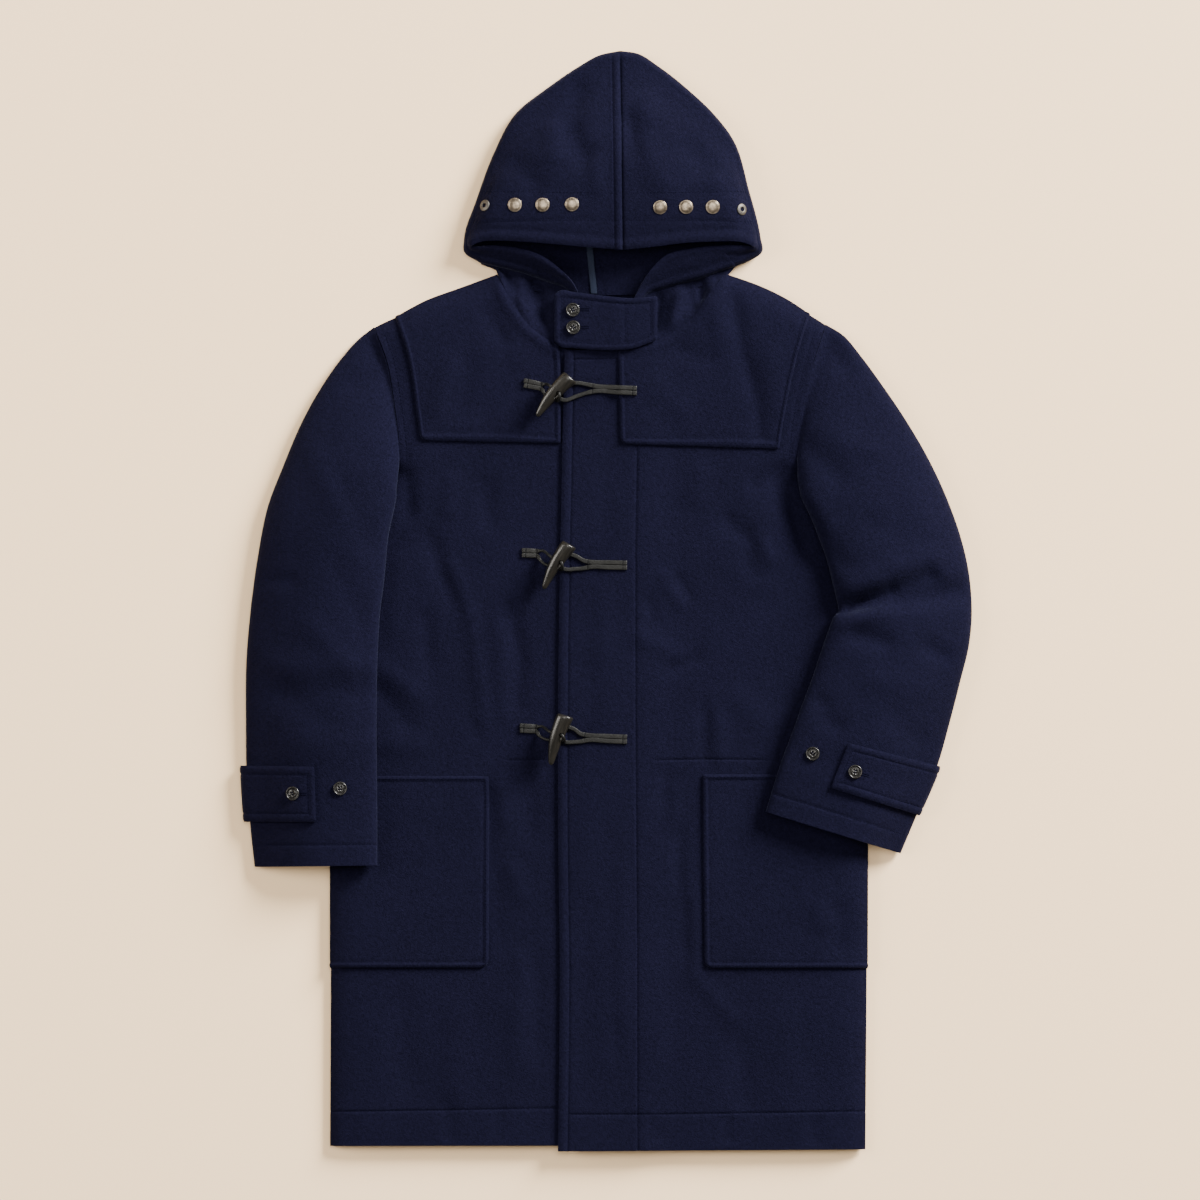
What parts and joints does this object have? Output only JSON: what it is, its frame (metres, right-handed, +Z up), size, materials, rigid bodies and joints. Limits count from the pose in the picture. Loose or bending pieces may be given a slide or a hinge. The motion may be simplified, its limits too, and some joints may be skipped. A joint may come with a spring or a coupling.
{
  "type": "duffle coat laid flat",
  "caption": "Hooded duffle coat lying flat on its back, fastened by horn toggles in leather loops, with patch pockets, throat tab and cuff straps.",
  "frame": {"origin": "on the surface the coat lies on, under the middle of its outline", "axes": "+Z up from the surface, +Y from the hem to the hood, +X towards the wearer's left"},
  "size_m": [0.8384, 1.2659, 0.0463],
  "materials": {
    "melton": "heavy felted navy wool melton, matt with a short nap",
    "tape": "slate blue woven binding tape",
    "horn": "dark polished horn, satin",
    "silver": "antique silver press-stud caps",
    "leather": "smooth black leather"
  },
  "bodies": {
    "root": {"back": "melton", "front_right": "melton", "front_left": "melton", "yoke_right": "melton", "yoke_left": "melton", "pocket_right": "melton", "pocket_left": "melton", "sleeve_right": "melton", "sleeve_left": "melton", "hood_right": "melton", "hood_left": "melton", "hood_chin_right": "melton", "hood_chin_left": "melton", "throat_tab": "melton", "cuff_strap_right": "melton", "cuff_strap_left": "melton", "hood_tape": "tape", "tab_button_1": "horn", "tab_button_2": "horn", "cuff_button_right_1": "horn", "cuff_button_right_2": "horn", "cuff_button_left_1": "horn", "cuff_button_left_2": "horn", "toggle_1": "horn", "toggle_2": "horn", "toggle_3": "horn", "hood_snap_1": "silver", "hood_snap_2": "silver", "hood_snap_3": "silver", "hood_snap_4": "silver", "hood_snap_5": "silver", "hood_snap_6": "silver", "hood_ring_snap_1": "silver", "hood_ring_snap_2": "silver", "toggle_strap_1": "leather", "toggle_strap_2": "leather", "toggle_strap_3": "leather", "loop_strap_1": "leather", "loop_strap_2": "leather", "loop_strap_3": "leather"}
  },
  "joints": []
}
